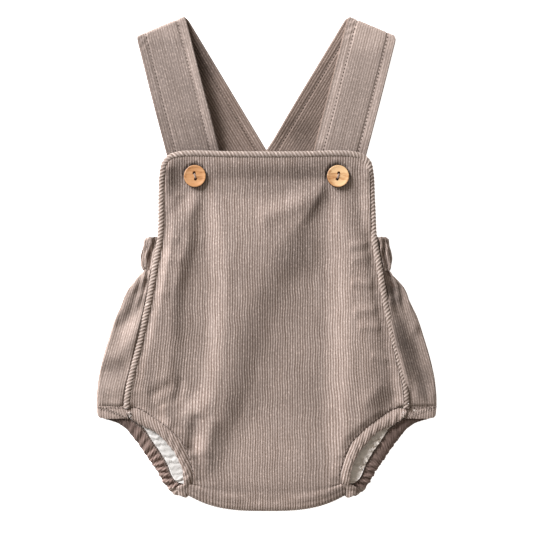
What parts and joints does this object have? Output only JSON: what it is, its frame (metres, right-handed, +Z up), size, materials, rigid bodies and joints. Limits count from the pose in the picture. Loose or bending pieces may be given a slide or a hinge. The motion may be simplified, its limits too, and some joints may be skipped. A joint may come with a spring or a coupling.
{
  "type": "corduroy baby romper",
  "caption": "Sleeveless baby romper in fine corduroy, laid flat: piped bib front, crossed button straps, gathered legs and elastic back waist.",
  "frame": {"origin": "middle of the bounding box at the underside, on the surface that the garment lies on", "axes": "+Z up out of the garment's front, +Y from the crotch to the tops of the straps, +X to the viewer's right with the straps away from the viewer"},
  "size_m": [0.2728, 0.3968, 0.0119],
  "materials": {
    "corduroy": "fine-rib cotton corduroy, soft nap, warm taupe",
    "corduroy_piping": "the same corduroy cut on the bias round a cord",
    "cotton_lining": "thin plain cotton, off-white",
    "button_wood": "bare warm wood with darker turned edges"
  },
  "bodies": {
    "root": {"front_panel": "corduroy", "piping": "corduroy_piping", "back_panel": "corduroy", "waist_casing": "corduroy", "lining": "cotton_lining", "strap_left": "corduroy", "strap_right": "corduroy", "front_leg_casing_left": "corduroy", "front_leg_casing_right": "corduroy", "back_leg_casing_left": "corduroy", "back_leg_casing_right": "corduroy", "button_left": "button_wood", "button_right": "button_wood"}
  },
  "joints": []
}
